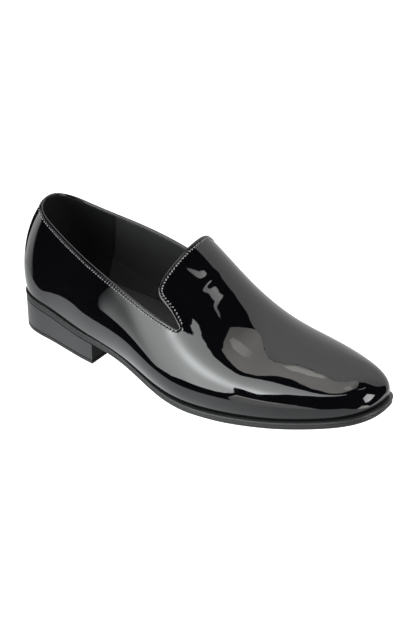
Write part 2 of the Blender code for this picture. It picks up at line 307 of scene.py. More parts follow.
def upper_point(u, v, side):
    """A point of the last's face: rib u, and v from the welt (0) to the ridge (1)."""
    u, v = np.broadcast_arrays(np.asarray(u, float), np.asarray(v, float))
    x, turn = rib_axis(u)
    y = centre_line(x)
    dx = -np.cos(turn)
    dy = side * np.sin(turn)
    foot = rib_foot(x, y, dx, dy, side)
    foot_z = sole_bottom(x + dx * foot) + UPPER_FOOT
    top_z = ridge(x)
    flare, belly, crown = rib_flare(u), rib_belly(u), rib_crown(u)
    out = (foot, foot + flare, foot + flare, foot * rib_shoulder(u), crown, 0 * foot)
    up = (
        foot_z,
        foot_z + BELLY_LOW * belly,
        foot_z + belly,
        foot_z + rib_rise(u) * (top_z - foot_z),
        top_z + ridge.slope(x) * dx * crown,
        top_z,
    )
    reach = 0 * foot
    z = 0 * foot
    for k, share in enumerate(QUINTIC):
        weight = share * v ** k * (1 - v) ** (len(QUINTIC) - 1 - k)
        reach = reach + weight * out[k]
        z = z + weight * up[k]
    return np.stack((x + dx * reach, y + dy * reach, z), axis=-1)


def upper_normal(u, v, side):
    """Outward normal of the last's face."""
    u, v = np.broadcast_arrays(np.asarray(u, float), np.asarray(v, float))
    u = np.where(v > 1 - POLE_SHARE, np.minimum(u, 1 - POLE_SHARE), u)
    u_low, u_high = np.clip(u - TILT, 0, 1), np.clip(u + TILT, 0, 1)
    v_low, v_high = np.clip(v - TILT, 0, 1), np.clip(v + TILT, 0, 1)
    along = upper_point(u_high, v, side) - upper_point(u_low, v, side)
    across = upper_point(u, v_high, side) - upper_point(u, v_low, side)
    normal = np.cross(along, across) * -side
    return normal / np.linalg.norm(normal, axis=-1, keepdims=True)


def rib_height(u, z, side):
    low = np.zeros_like(u)
    high = np.ones_like(u)
    for _ in range(HALVINGS):
        v = (low + high) / 2
        below = upper_point(u, v, side)[..., 2] < z
        low = np.where(below, v, low)
        high = np.where(below, high, v)
    return (low + high) / 2


NOTCH_U = rib_at(TAB_EDGE[0].x)


def collar_z(u):
    round_u = NOTCH_ROUND / PACE
    t = np.clip((u - NOTCH_U + round_u) / round_u, 0, 1)
    return collar_height(u) + NOTCH_ROUND * (1 - np.sqrt(1 - t ** 2))


def collar_columns(heel_count, collar_count):
    heel_u = np.linspace(0, HEEL_FAN, heel_count + 1)[:-1]
    ease = np.sin(np.pi / 2 * np.linspace(0, 1, collar_count + 1))
    return np.concatenate((heel_u, HEEL_FAN + (NOTCH_U - HEEL_FAN) * ease))


def tab_columns(v, side):
    """The rib on which the tab's rear edge lies, at each v above the notch."""
    edge_u = np.full(v.shape, NOTCH_U)
    for _ in range(HALVINGS):
        edge_u = rib_at(tab_edge(upper_point(edge_u, v, side)[:, 2]))
    edge_u[0] = NOTCH_U
    return edge_u


Fineness = namedtuple("Fineness", "heel collar vamp quarter_rows vamp_rows")
PATENT_GRID = Fineness(heel=40, collar=90, vamp=110, quarter_rows=44, vamp_rows=40)
LINING_GRID = Fineness(heel=24, collar=50, vamp=60, quarter_rows=24, vamp_rows=20)


def sheet_grids(side, fineness):
    """Rib and height numbers of the quarter's grid and of the vamp's grid on one side."""
    collar_u = collar_columns(fineness.heel, fineness.collar)
    collar_v = rib_height(collar_u, collar_z(collar_u), side)
    notch_v = collar_v[-1]
    share = np.linspace(0, 1, fineness.vamp + 1)
    rows = np.linspace(0, 1, fineness.quarter_rows + 1)
    u = np.concatenate((collar_u, NOTCH_U + (1 - NOTCH_U) * share[1:]))
    v_top = np.concatenate((collar_v, np.full(fineness.vamp, notch_v)))
    quarter = np.broadcast_arrays(u[None], rows[:, None] * v_top[None])
    v = notch_v + (1 - notch_v) * np.linspace(0, 1, fineness.vamp_rows + 1)
    edge_u = tab_columns(v, side)[:, None]
    vamp = np.broadcast_arrays(edge_u + (1 - edge_u) * share[None], v[:, None])
    return quarter, vamp


def outline(inset, height, x_end=LENGTH, steps=SOLE_STEPS, end_inset=None):
    """A ring round the sole: along the outer side to the toe and back along the inner side."""
    start = float(np.asarray(inset(0.0)))
    stop = x_end - (float(np.asarray(inset(LENGTH))) if end_inset is None else end_inset)
    sweep = np.pi if end_inset is None else np.pi / 2
    share = (1 - np.cos(np.linspace(0, sweep, steps + 1))) / (1 - np.cos(sweep))
    x = start + (stop - start) * share
    sides = []
    for side in (OUTER, INNER):
        half = half_width(x, inset(x), side)
        half[0] = 0
        if end_inset is None:
            half[-1] = 0
        sides.append(np.stack((x, centre_line(x) + side * half, height(x)), axis=-1))
    return sides


def ring(sides):
    return np.concatenate((sides[0], sides[1][::-1]))


def inset_by(extra, with_ledge=False):
    if with_ledge:
        return lambda x: welt_ledge(x) + extra
    return lambda x: extra + 0 * np.asarray(x, float)


def above_sole(lift):
    return lambda x: sole_bottom(x) + lift


def above_tread(lift):
    return lambda x: np.maximum(sole_bottom(x), 0) + lift


def at_level(z):
    return lambda x: z + 0 * np.asarray(x, float)


def add_grid(mesh, points):
    """Lay a grid of faces through an array of points."""
    rows, columns = points.shape[0] - 1, points.shape[1] - 1
    made = bmesh.ops.create_grid(mesh, x_segments=columns, y_segments=rows, size=1.0)
    for vertex in made["verts"]:
        j = round((vertex.co.x + 1) / 2 * columns)
        i = round((vertex.co.y + 1) / 2 * rows)
        vertex.co = (points[i, j] - ORIGIN) * MM


def add_walls(mesh, rings, close=False):
    loops = [np.concatenate((r, r[:1])) for r in rings]
    if close:
        loops.append(loops[0])
    add_grid(mesh, np.stack(loops))


def make_piece(name, mesh, material, stage=False, sharp=None):
    """Close a mesh's seams, turn its faces outwards and make it an object."""
    bmesh.ops.remove_doubles(mesh, verts=mesh.verts, dist=WELD)
    bmesh.ops.dissolve_degenerate(mesh, edges=mesh.edges, dist=WELD)
    bmesh.ops.recalc_face_normals(mesh, faces=mesh.faces)
    data = bpy.data.meshes.new(name)
    mesh.to_mesh(data)
    mesh.free()
    data.materials.append(material)
    data.shade_smooth()
    if sharp is not None:
        data.set_sharp_from_angle(angle=np.radians(sharp))
    piece = bpy.data.objects.new(name, data)
    bpy.context.scene.collection.objects.link(piece)
    if stage:
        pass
    else:
        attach(piece, "root")
    return piece


class Tone:
    """A socket's value; arithmetic on it adds Math nodes."""

    def __init__(self, paint, socket):
        self.paint = paint
        self.socket = socket

    def math(self, operation, first, second):
        return self.paint.node("ShaderNodeMath", {"operation": operation}, {0: first, 1: second})

    def __add__(self, other):
        return self.math("ADD", self, other)

    def __sub__(self, other):
        return self.math("SUBTRACT", self, other)

    def __rsub__(self, other):
        return self.math("SUBTRACT", other, self)

    def __mul__(self, other):
        return self.math("MULTIPLY", self, other)

    def __truediv__(self, other):
        return self.math("DIVIDE", self, other)


# Colour sockets of a Mix node: its two inputs and its output
MIX_FIRST = 6
MIX_SECOND = 7
MIX_COLOUR = 2


class Paint:
    """A material and the nodes that make it."""

    def __init__(self, name):
        self.material = bpy.data.materials.new(name)
        self.material.use_nodes = True
        self.tree = self.material.node_tree
        self.shader = self.tree.nodes["Principled BSDF"]
        self.place = self.node("ShaderNodeTexCoord", {}, {}, "Object")

    def node(self, kind, settings, inputs, out=0):
        """Add a node, its settings first and then its sockets, and give one of its outputs."""
        node = self.tree.nodes.new(kind)
        for name, value in settings.items():
            setattr(node, name, value)
        for name, value in inputs.items():
            self.feed(node.inputs[name], value)
        return Tone(self, node.outputs[out])

    def feed(self, socket, value):
        if isinstance(value, Tone):
            self.tree.links.new(value.socket, socket)
        else:
            socket.default_value = value

    def set(self, **sockets):
        for name, value in sockets.items():
            self.feed(self.shader.inputs[name.replace("_", " ")], value)

    def axes(self):
        """The three coordinates in the part's tables, in millimetres."""
        return [
            self.node("ShaderNodeSeparateXYZ", {}, {"Vector": self.place}, k) / MM + float(ORIGIN[k])
            for k in range(3)
        ]

    def step(self, value, width):
        """From 0 to 1 as a value passes zero, over twice a width."""
        return self.node(
            "ShaderNodeMapRange", {"interpolation_type": "SMOOTHSTEP"},
            {"Value": value, "From Min": -width, "From Max": width})

    def noise(self, scale, detail=2.0, roughness=0.5, vector=None):
        return self.node(
            "ShaderNodeTexNoise", {"noise_dimensions": "3D"},
            {"Vector": vector or self.place, "Scale": scale, "Detail": detail, "Roughness": roughness},
        )

    def cells(self, scale):
        return self.node(
            "ShaderNodeTexVoronoi", {"feature": "F1"}, {"Vector": self.place, "Scale": scale}, "Distance")

    def between(self, share, first, second):
        colours = {MIX_FIRST: (*first, 1.0), MIX_SECOND: (*second, 1.0)}
        return self.node("ShaderNodeMix", {"data_type": "RGBA"}, {"Factor": share, **colours}, MIX_COLOUR)

    def bump(self, height, depth_mm, strength):
        inputs = {"Height": height, "Distance": depth_mm * MM, "Strength": strength}
        return self.node("ShaderNodeBump", {}, inputs)


def patent_leather():
    paint = Paint("patent_leather")
    depth = paint.noise(60.0, 3.0)
    paint.set(
        Base_Color=paint.between(depth, (0.0008, 0.0008, 0.0011), (0.0016, 0.0016, 0.0022)),
        Roughness=paint.noise(90.0) * 0.10 + 0.30,
        Specular_IOR_Level=0.0,
        Coat_Weight=1.0,
        Coat_Roughness=0.02,
        Coat_IOR=1.5,
    )
    return paint.material


# Lining: a seam up the quarter at x = base + lean * (z - level), and the edge of its lower band
SEAM_X = 49.7
SEAM_LEVEL = 44.3
SEAM_LEAN = 0.18
SEAM_HALF = 0.5
BAND_Z = 45.7
BAND_FALL = 0.33
BAND_HALF = 0.5


def lining_leather():
    paint = Paint("lining_leather")
    x, _, z = paint.axes()
    past_seam = x - SEAM_X - (z - SEAM_LEVEL) * SEAM_LEAN
    front = paint.step(past_seam, SEAM_HALF)
    groove_start = paint.step(past_seam + 2 * SEAM_HALF, SEAM_HALF)
    groove_end = paint.step(past_seam - 2 * SEAM_HALF, SEAM_HALF)
    groove = groove_start * (1.0 - groove_end)
    band = paint.step(BAND_Z - (x - SEAM_X) * BAND_FALL - z, BAND_HALF) * front
    pores = paint.cells(1500.0)
    grain = paint.noise(900.0, 3.0)
    mottle = paint.noise(70.0, 4.0)
    skin = front * 0.5 + front * grain * 0.3 + mottle * 0.2
    share = skin * (1.0 - groove * 0.9) * (1.0 - band) + band * 0.9
    paint.set(
        Base_Color=paint.between(share, (0.0055, 0.0055, 0.0058), (0.034, 0.034, 0.035)),
        Roughness=grain * 0.2 + 0.5,
        Specular_IOR_Level=0.35,
        Normal=paint.bump(pores * 0.4 + grain * 0.4 + band * 1.2 - groove * 1.2, 0.25, 0.6),
    )
    return paint.material


def sock_leather():
    paint = Paint("sock_leather")
    pores = paint.cells(1100.0)
    grain = paint.noise(700.0, 3.0)
    mottle = paint.noise(45.0, 4.0)
    paint.set(
        Base_Color=paint.between(mottle, (0.022, 0.022, 0.023), (0.040, 0.040, 0.042)),
        Roughness=grain * 0.2 + 0.48,
        Specular_IOR_Level=0.4,
        Normal=paint.bump(pores * 0.5 + grain * 0.5, 0.25, 0.5),
    )
    return paint.material


def edge_leather(name, dark, light, rough, specular=0.4):
    paint = Paint(name)
    stretched = paint.node("ShaderNodeMapping", {}, {"Vector": paint.place, "Scale": (1.0, 1.0, 6.0)})
    lines = paint.noise(160.0, 4.0, 0.6, stretched)
    specks = paint.noise(1400.0, 2.0)
    paint.set(
        Base_Color=paint.between(lines * 0.7 + specks * 0.3, dark, light),
        Roughness=specks * 0.15 + rough,
        Specular_IOR_Level=specular,
        Normal=paint.bump(lines * 0.6 + specks * 0.4, 0.12, 0.5),
    )
    return paint.material


def thread_finish():
    paint = Paint("thread")
    twist = paint.noise(2500.0, 2.0)
    paint.set(
        Base_Color=paint.between(twist, (0.14, 0.14, 0.145), (0.27, 0.27, 0.28)),
        Roughness=twist * 0.2 + 0.3,
        Specular_IOR_Level=0.6,
        Normal=paint.bump(twist, 0.08, 0.6),
    )
    return paint.material


PATENT = patent_leather()
LINING = lining_leather()
SOCK = sock_leather()
WELT_EDGE = edge_leather("welt_edge", (0.011, 0.0113, 0.012), (0.019, 0.0194, 0.0206), 0.34)
SOLE_EDGE = edge_leather("sole_edge", (0.005, 0.005, 0.0055), (0.009, 0.009, 0.0097), 0.42)
HEEL_SIDE = edge_leather("heel_side", (0.015, 0.0153, 0.0165), (0.024, 0.0245, 0.026), 0.34)
TOP_RUBBER = edge_leather("top_rubber", (0.006, 0.006, 0.0065), (0.011, 0.011, 0.0115), 0.5)
BREAST = edge_leather("heel_breast", (0.0016, 0.0016, 0.0018), (0.004, 0.004, 0.0044), 0.6, 0.08)
THREAD = thread_finish()

# Upper sheet
PATENT_THICKNESS = 1.1
LINING_THICKNESS = 0.6
LINING_GAP = 0.05
POLE_MERGE = 0.0011
POLE_REACH = 0.005
POLE_SOFTEN = 20
POLE_SOFTNESS = 0.5
Wobble = namedtuple("Wobble", "length height")
WOBBLE = (
    Wobble(length=42.0, height=0.10),
    Wobble(length=14.0, height=0.02),
    Wobble(length=7.0, height=0.007),
)

# Soft troughs and ridges, along lines of points in the part's tables, in millimetres
Crease = namedtuple("Crease", "line height width")
CREASES = (
    Crease(
        line=((132, -26, 93), (138, -36, 83), (146.4, -39.2, 74.2), (154, -41, 67)),
        height=1.8, width=8.0),
    Crease(line=((165, -29, 77.5), (169.6, -17.7, 83.0), (171.2, -8.1, 86.2)), height=-0.1, width=2.6),
    Crease(line=((181, -20, 72.1), (182.2, -15.7, 73.7), (183.3, -11.2, 75.0)), height=-0.06, width=3.0),
)


def relief(points):
    """Height of the listed troughs and ridges at points of the upper."""
    height = np.zeros(points.shape[:-1])
    for crease in CREASES:
        line = np.array(crease.line, float)
        nearest = np.full(points.shape[:-1], np.inf)
        for a, b in zip(line[:-1], line[1:]):
            share = np.clip(((points - a) @ (b - a)) / ((b - a) @ (b - a)), 0, 1)
            gap = np.linalg.norm(points - a - share[..., None] * (b - a), axis=-1)
            nearest = np.minimum(nearest, gap)
        height += crease.height * np.exp(-(nearest / crease.width) ** 2)
    return height


def wobble(points):
    """Soft unevenness of a lasted skin, in millimetres along its normal."""
    flat = points.reshape(-1, 3)
    depth = np.zeros(len(flat))
    for wave in WOBBLE:
        scale = 1 / wave.length
        depth += wave.height * np.array([noise.noise(Vector(p * scale)) for p in flat])
    return depth.reshape(points.shape[:-1])


def sheet_points(grid, side, sink):
    u, v = grid
    points = upper_point(u, v, side)
    normals = upper_normal(u, v, side)
    return points + normals * (wobble(points) + relief(points) - sink)[..., None]


def make_upper():
    mesh = bmesh.new()
    for side in (OUTER, INNER):
        for grid in sheet_grids(side, PATENT_GRID):
            add_grid(mesh, sheet_points(grid, side, 0.0))
    pole = (upper_point(1.0, 1.0, OUTER) - ORIGIN) * MM
    bmesh.ops.remove_doubles(mesh, verts=mesh.verts, dist=WELD)
    at_pole = [vertex for vertex in mesh.verts if (vertex.co - Vector(pole)).length < POLE_MERGE]
    middle = sum((vertex.co for vertex in at_pole), Vector()) / len(at_pole)
    bmesh.ops.pointmerge(mesh, verts=at_pole, merge_co=middle)
    round_pole = [vertex for vertex in mesh.verts if (vertex.co - Vector(pole)).length < POLE_REACH]
    for _ in range(POLE_SOFTEN):
        bmesh.ops.smooth_vert(
            mesh, verts=round_pole, factor=POLE_SOFTNESS,
            use_axis_x=True, use_axis_y=True, use_axis_z=True)
    piece = make_piece("patent_upper", mesh, PATENT)
    shell = piece.modifiers.new("wall", "SOLIDIFY")
    shell.thickness = PATENT_THICKNESS * MM
    shell.offset = -1.0
    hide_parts("upper")


def make_lining():
    mesh = bmesh.new()
    sink = PATENT_THICKNESS + LINING_GAP
    for side in (OUTER, INNER):
        for grid in sheet_grids(side, LINING_GRID):
            add_grid(mesh, sheet_points(grid, side, sink))
    piece = make_piece("lining", mesh, LINING)
    shell = piece.modifiers.new("wall", "SOLIDIFY")
    shell.thickness = LINING_THICKNESS * MM
    shell.offset = -1.0


# Topline: a loop round the collar and the tab
Topline = namedtuple("Topline", "point along into out step length")
TOPLINE_STEP = 0.45
TOPLINE_SOFTEN = 0.9
TOPLINE_HEEL = 200
TOPLINE_COLLAR = 600
TOPLINE_TAB = 500


def topline_path():
    """Points round the mouth with the edge's direction, the way into the leather and outwards."""
    points, normals = [], []
    for side in (OUTER, INNER):
        u = collar_columns(TOPLINE_HEEL, TOPLINE_COLLAR)
        v = rib_height(u, collar_z(u), side)
        tab_v = v[-1] + (1 - v[-1]) * np.linspace(0, 1, TOPLINE_TAB)
        tab_u = tab_columns(tab_v, side)
        u, v = np.concatenate((u, tab_u[1:])), np.concatenate((v, tab_v[1:]))
        p, n = upper_point(u, v, side), upper_normal(u, v, side)
        if side == INNER:
            p, n = p[::-1][1:-1], n[::-1][1:-1]
        points.append(p)
        normals.append(n)
    p = np.concatenate(points)
    n = np.concatenate(normals)
    loop = np.concatenate((p, p[:1]))
    s = np.concatenate(([0], np.cumsum(np.linalg.norm(np.diff(loop, axis=0), axis=1))))
    count = int(round(s[-1] / TOPLINE_STEP))
    at = np.arange(count) * s[-1] / count
    n = np.concatenate((n, n[:1]))
    p = np.stack([np.interp(at, s, loop[:, k]) for k in range(3)], axis=-1)
    n = np.stack([np.interp(at, s, n[:, k]) for k in range(3)], axis=-1)
    reach = int(round(3 * TOPLINE_SOFTEN / TOPLINE_STEP))
    shares = np.exp(-0.5 * (np.arange(-reach, reach + 1) * TOPLINE_STEP / TOPLINE_SOFTEN) ** 2)
    shares /= shares.sum()
    p = sum(w * np.roll(p, k, axis=0) for k, w in zip(range(-reach, reach + 1), shares))
    n = sum(w * np.roll(n, k, axis=0) for k, w in zip(range(-reach, reach + 1), shares))
    along = np.roll(p, -1, axis=0) - np.roll(p, 1, axis=0)
    along /= np.linalg.norm(along, axis=1, keepdims=True)
    n -= (n * along).sum(1, keepdims=True) * along
    n /= np.linalg.norm(n, axis=1, keepdims=True)
    return Topline(p, along, np.cross(along, n), n, s[-1] / count, s[-1])


# Folded edge: its section in millimetres, into the leather and outwards
Fold = namedtuple("Fold", "into out pucker")
FOLD = (
    Fold(into=1.5, out=-1.35, pucker=0.0),
    Fold(into=0.7, out=-1.72, pucker=0.0),
    Fold(into=0.0, out=-1.66, pucker=0.0),
    Fold(into=-0.35, out=-1.30, pucker=0.0),
    Fold(into=-0.50, out=-0.75, pucker=0.0),
    Fold(into=-0.42, out=-0.15, pucker=0.0),
    Fold(into=-0.10, out=0.22, pucker=0.0),
    Fold(into=0.45, out=0.40, pucker=0.1),
    Fold(into=1.10, out=0.40, pucker=0.4),
    Fold(into=1.70, out=0.26, pucker=0.9),
    Fold(into=2.15, out=0.04, pucker=1.0),
    Fold(into=2.40, out=-0.25, pucker=0.6),
    Fold(into=2.30, out=-0.70, pucker=0.0),
)
STITCH_PITCH = 2.4
STITCH_LENGTH = 1.4
STITCH_WIDTH = 1.0
STITCH_INTO = 2.55
STITCH_OUT = 0.22
STITCH_SEGMENTS = 8
STITCH_RINGS = 6
PUCKER = 0.22


def make_folded_edge(path):
    count = round(path.length / STITCH_PITCH)
    phase = np.arange(len(path.point)) * path.step / path.length * count
    pull = PUCKER * (0.5 + 0.5 * np.cos(2 * np.pi * phase))
    rings = []
    for fold in FOLD:
        out = fold.out - fold.pucker * pull
        points = path.point + path.into * fold.into
        rings.append(points + path.out * (out + relief(points))[:, None])
    mesh = bmesh.new()
    add_walls(mesh, rings, close=True)
    piece = make_piece("folded_edge", mesh, PATENT)


def make_stitches(path):
    count = round(path.length / STITCH_PITCH)
    mesh = bmesh.new()
    for k in range(count):
        at = round((k + 0.5) / count * len(path.point)) % len(path.point)
        place = path.point[at] + path.into[at] * STITCH_INTO
        place = (place + path.out[at] * (STITCH_OUT + relief(place)) - ORIGIN) * MM
        axes = (
            path.along[at] * STITCH_LENGTH / 2,
            path.into[at] * STITCH_WIDTH / 2,
            path.out[at] * STITCH_WIDTH / 2,
        )
        matrix = Matrix.Identity(4)
        for j, axis in enumerate(axes):
            for i in range(3):
                matrix[i][j] = axis[i] * MM
        matrix.translation = Vector(place)
        bmesh.ops.create_uvsphere(
            mesh, u_segments=STITCH_SEGMENTS, v_segments=STITCH_RINGS, radius=1.0, matrix=matrix)
    piece = make_piece("edge_stitches", mesh, THREAD)


def loft(name, sections, material, node):
    """A closed solid through outlines, capped at the first and last one, in a node's place."""
    mesh = bmesh.new()
    add_walls(mesh, [ring(sides) for sides in sections])
    for sides in (sections[0], sections[-1]):
        rows = [sides[0] + (sides[1] - sides[0]) * t for t in np.linspace(0, 1, CAP_ROWS + 1)]
        add_grid(mesh, np.stack(rows))
    piece = make_piece(name, mesh, material, sharp=SHARP_DEGREES)
    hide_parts(node)
    return piece


def make_sole():
    edge = OUTSOLE_RECESS
    eased = CHAMFER_SHARE * OUTSOLE_CHAMFER
    plateau = inset_by(WELT_COVER + GAP, with_ledge=True)
    loft("outsole_leather", [
        outline(inset_by(edge + OUTSOLE_CHAMFER), above_tread(0.0)),
        outline(inset_by(edge + eased), above_tread(eased)),
        outline(inset_by(edge), above_tread(OUTSOLE_CHAMFER)),
        outline(inset_by(edge), above_sole(OUTSOLE_EDGE - OUTSOLE_LIP)),
        outline(inset_by(edge + OUTSOLE_LIP_MID_IN), above_sole(OUTSOLE_EDGE - OUTSOLE_LIP_MID_DOWN)),
        outline(inset_by(edge + OUTSOLE_LIP), above_sole(OUTSOLE_EDGE)),
        outline(plateau, above_sole(OUTSOLE_EDGE)),
        outline(plateau, above_sole(WELT_TOP)),
    ], SOLE_EDGE, "outsole")
    bottom = OUTSOLE_EDGE + GAP
    hidden = inset_by(WELT_COVER, with_ledge=True)
    sections = [
        outline(inset_by(WELT_UNDER_IN), above_sole(bottom)),
        outline(inset_by(WELT_UNDER_MID_IN), above_sole(bottom + WELT_UNDER_MID_UP)),
        outline(inset_by(0.0), above_sole(bottom + WELT_UNDER_UP)),
        outline(inset_by(0.0), above_sole(WELT_TOP - WELT_ROUND)),
        outline(inset_by(WELT_ROUND_MID), above_sole(WELT_TOP - WELT_ROUND_MID)),
        outline(inset_by(WELT_ROUND), above_sole(WELT_TOP)),
        outline(hidden, above_sole(WELT_TOP)),
        outline(hidden, above_sole(bottom)),
    ]
    mesh = bmesh.new()
    add_walls(mesh, [ring(sides) for sides in sections], close=True)
    piece = make_piece("welt_strip", mesh, WELT_EDGE, sharp=SHARP_DEGREES)
    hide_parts("welt")


def make_insole():
    plan = WALL + INSOLE_CLEARANCE
    bottom = WELT_TOP + GAP
    top = bottom + INSOLE_THICKNESS
    loft("sock", [
        outline(inset_by(plan, with_ledge=True), above_sole(bottom)),
        outline(inset_by(plan, with_ledge=True), above_sole(top - SOCK_ROUND_DOWN)),
        outline(inset_by(plan + SOCK_ROUND_MID, with_ledge=True), above_sole(top - SOCK_ROUND_MID)),
        outline(inset_by(plan + SOCK_ROUND_IN, with_ledge=True), above_sole(top)),
    ], SOCK, "insole")


def heel_outline(inset, height):
    return outline(inset_by(inset), height, HEEL_BREAST, HEEL_STEPS, end_inset=inset)


def darken_breast(piece):
    """Give the flat front of a heel piece, which faces forward under the arch, a near-black, duller
    material.
    """
    piece.data.materials.append(BREAST)
    for face in piece.data.polygons:
        if face.normal.x > BREAST_FACING:
            face.material_index = 1


def make_heel():
    edge = OUTSOLE_RECESS
    stack = loft("heel_stack", [
        heel_outline(edge + HEEL_EASE, at_level(TOP_PIECE + GAP)),
        heel_outline(edge, at_level(TOP_PIECE + GAP + HEEL_EASE)),
        heel_outline(edge, above_sole(-GAP - HEEL_EASE)),
        heel_outline(edge + HEEL_EASE, above_sole(-GAP)),
    ], HEEL_SIDE, "heel_block")
    rubber = loft("heel_top_rubber", [
        heel_outline(edge + HEEL_CHAMFER, at_level(0.0)),
        heel_outline(edge, at_level(HEEL_CHAMFER)),
        heel_outline(edge, at_level(TOP_PIECE - HEEL_EASE)),
        heel_outline(edge + HEEL_EASE, at_level(TOP_PIECE)),
    ], TOP_RUBBER, "heel_top_piece")
    for piece in (stack, rubber):
        darken_breast(piece)


# Studio: panels of light far round the shoe, by azimuth and elevation in degrees
STUDIO_RADIUS = 12.0
LAMP_HEIGHT = 11.6
PANEL_COLUMNS = 160
PANEL_LINES = 40
WHITE = (1.0, 1.0, 1.0)
WARM = (1.0, 0.975, 0.93)
COOL = (0.97, 1.0, 1.0)
CREAM = (1.0, 0.99, 0.97)
SHEET_WHITE = (0.98, 1.0, 1.01)
ROOM_DARK = (0.016, 0.016, 0.021)
BACKDROP_GLOW = 1.5
FLOOR_RADIUS = 6.0
FLOOR_SEGMENTS = 96
FLOOR_LEVEL = -0.6
Panel = namedtuple("Panel", "azimuth low high glow top_glow")
NEAR_SOFTBOX = (
    Panel(azimuth=-55, low=-24.5, high=-23, glow=0.6, top_glow=0.1),
    Panel(azimuth=-52, low=-24.5, high=-18, glow=2.4, top_glow=0.15),
    Panel(azimuth=-49, low=-24.4, high=-14, glow=3, top_glow=0.2),
    Panel(azimuth=-45, low=-25, high=-9, glow=3.2, top_glow=0.3),
    Panel(azimuth=-42, low=-26, high=-5, glow=3.4, top_glow=0.6),
    Panel(azimuth=-39, low=-26, high=2, glow=3.6, top_glow=1.6),
    Panel(azimuth=-36, low=-25, high=12, glow=3.8, top_glow=3.6),
    Panel(azimuth=-30, low=-23, high=28, glow=4.4, top_glow=6.5),
    Panel(azimuth=-25, low=-21.4, high=31, glow=4.8, top_glow=7),
    Panel(azimuth=-14, low=-16, high=34, glow=5.8, top_glow=7.4),
    Panel(azimuth=-7, low=-13, high=37, glow=7, top_glow=7.4),
    Panel(azimuth=-1, low=-10, high=41, glow=7.2, top_glow=6.4),
    Panel(azimuth=2, low=-7, high=42, glow=7.2, top_glow=5.4),
    Panel(azimuth=4, low=-1, high=42, glow=7.2, top_glow=4.6),
    Panel(azimuth=5, low=9, high=40.5, glow=7, top_glow=4.2),
    Panel(azimuth=6, low=12, high=38.5, glow=6.6, top_glow=4.2),
    Panel(azimuth=7.5, low=19, high=36, glow=6, top_glow=4.2),
    Panel(azimuth=9.5, low=24, high=32.5, glow=5.4, top_glow=4.4),
    Panel(azimuth=12, low=29, high=34, glow=5, top_glow=4.4),
    Panel(azimuth=16, low=33, high=36.5, glow=4.8, top_glow=4.4),
    Panel(azimuth=22, low=37, high=39.5, glow=4.6, top_glow=4.4),
    Panel(azimuth=28, low=40.5, high=42, glow=4.4, top_glow=4.4),
)
# Bright middle of the near softbox: place and spread in degrees
CORE_AZIMUTH = 1.5
CORE_ELEVATION = 11.5
CORE_WIDE = 8.5
CORE_TALL = 6.5
CORE_GLOW = 7.0
HEEL_LIGHT = (
    Panel(azimuth=-150, low=-42, high=-24, glow=0.8, top_glow=0.9),
    Panel(azimuth=-104, low=-36, high=-22, glow=0.7, top_glow=1.0),
    Panel(azimuth=-93, low=-32, high=-10, glow=0.5, top_glow=2.2),
    Panel(azimuth=-88, low=-30, high=7, glow=0.4, top_glow=3.0),
    Panel(azimuth=-80, low=-29, high=12, glow=0.4, top_glow=3.0),
    Panel(azimuth=-72, low=-28, high=10, glow=0.3, top_glow=2.6),
    Panel(azimuth=-68, low=-24, high=8, glow=0.2, top_glow=1.8),
    Panel(azimuth=-65, low=-4, high=6, glow=0.3, top_glow=0.5),
)
LOW_CARD = (
    Panel(azimuth=1, low=-26, high=-16, glow=1.5, top_glow=1.6),
    Panel(azimuth=4, low=-26, high=-6, glow=1.5, top_glow=2.0),
    Panel(azimuth=11, low=-26, high=-6, glow=1.5, top_glow=2.0),
    Panel(azimuth=15, low=-26, high=-16, glow=1.5, top_glow=1.6),
)
FLOOR_LINE = (
    Panel(azimuth=1.2, low=-15.2, high=-14.6, glow=1.6, top_glow=1.6),
    Panel(azimuth=3, low=-9.3, high=-8.0, glow=3.6, top_glow=3.6),
    Panel(azimuth=4, low=-5.9, high=-4.2, glow=4.8, top_glow=4.8),
    Panel(azimuth=8, low=-5.9, high=-4.2, glow=4.8, top_glow=4.8),
    Panel(azimuth=11, low=-5.9, high=-5.4, glow=2.4, top_glow=2.4),
)
TAB_GLINT = (
    Panel(azimuth=60, low=56.4, high=57.4, glow=2.0, top_glow=1.6),
    Panel(azimuth=69, low=54.8, high=57.2, glow=2.8, top_glow=2.2),
    Panel(azimuth=78, low=53.8, high=56.2, glow=3.4, top_glow=2.6),
    Panel(azimuth=84, low=53.4, high=55.4, glow=4.0, top_glow=3.0),
    Panel(azimuth=91, low=53.0, high=55.0, glow=5.0, top_glow=3.6),
    Panel(azimuth=97, low=53.0, high=54.2, glow=3.6, top_glow=3.4),
)
TOE_LIGHT = (
    Panel(azimuth=66, low=16, high=20, glow=6.0, top_glow=6.0),
    Panel(azimuth=73, low=-4, high=26, glow=8.0, top_glow=8.0),
    Panel(azimuth=82, low=-6, high=31, glow=9.5, top_glow=8.5),
    Panel(azimuth=92, low=-2, high=24, glow=9.5, top_glow=8.5),
    Panel(azimuth=105, low=7, high=10, glow=6.0, top_glow=6.0),
)
TOE_REFLECTOR = (
    Panel(azimuth=49, low=-32, high=-30, glow=3.6, top_glow=3.6),
    Panel(azimuth=65, low=-40, high=-15, glow=4.0, top_glow=4.6),
    Panel(azimuth=80, low=-42, high=-20, glow=4.4, top_glow=5.0),
    Panel(azimuth=95, low=-44, high=-30, glow=4.0, top_glow=4.0),
    Panel(azimuth=122, low=-46, high=-27, glow=3.0, top_glow=3.0),
    Panel(azimuth=146, low=-48, high=-21, glow=2.4, top_glow=2.4),
)
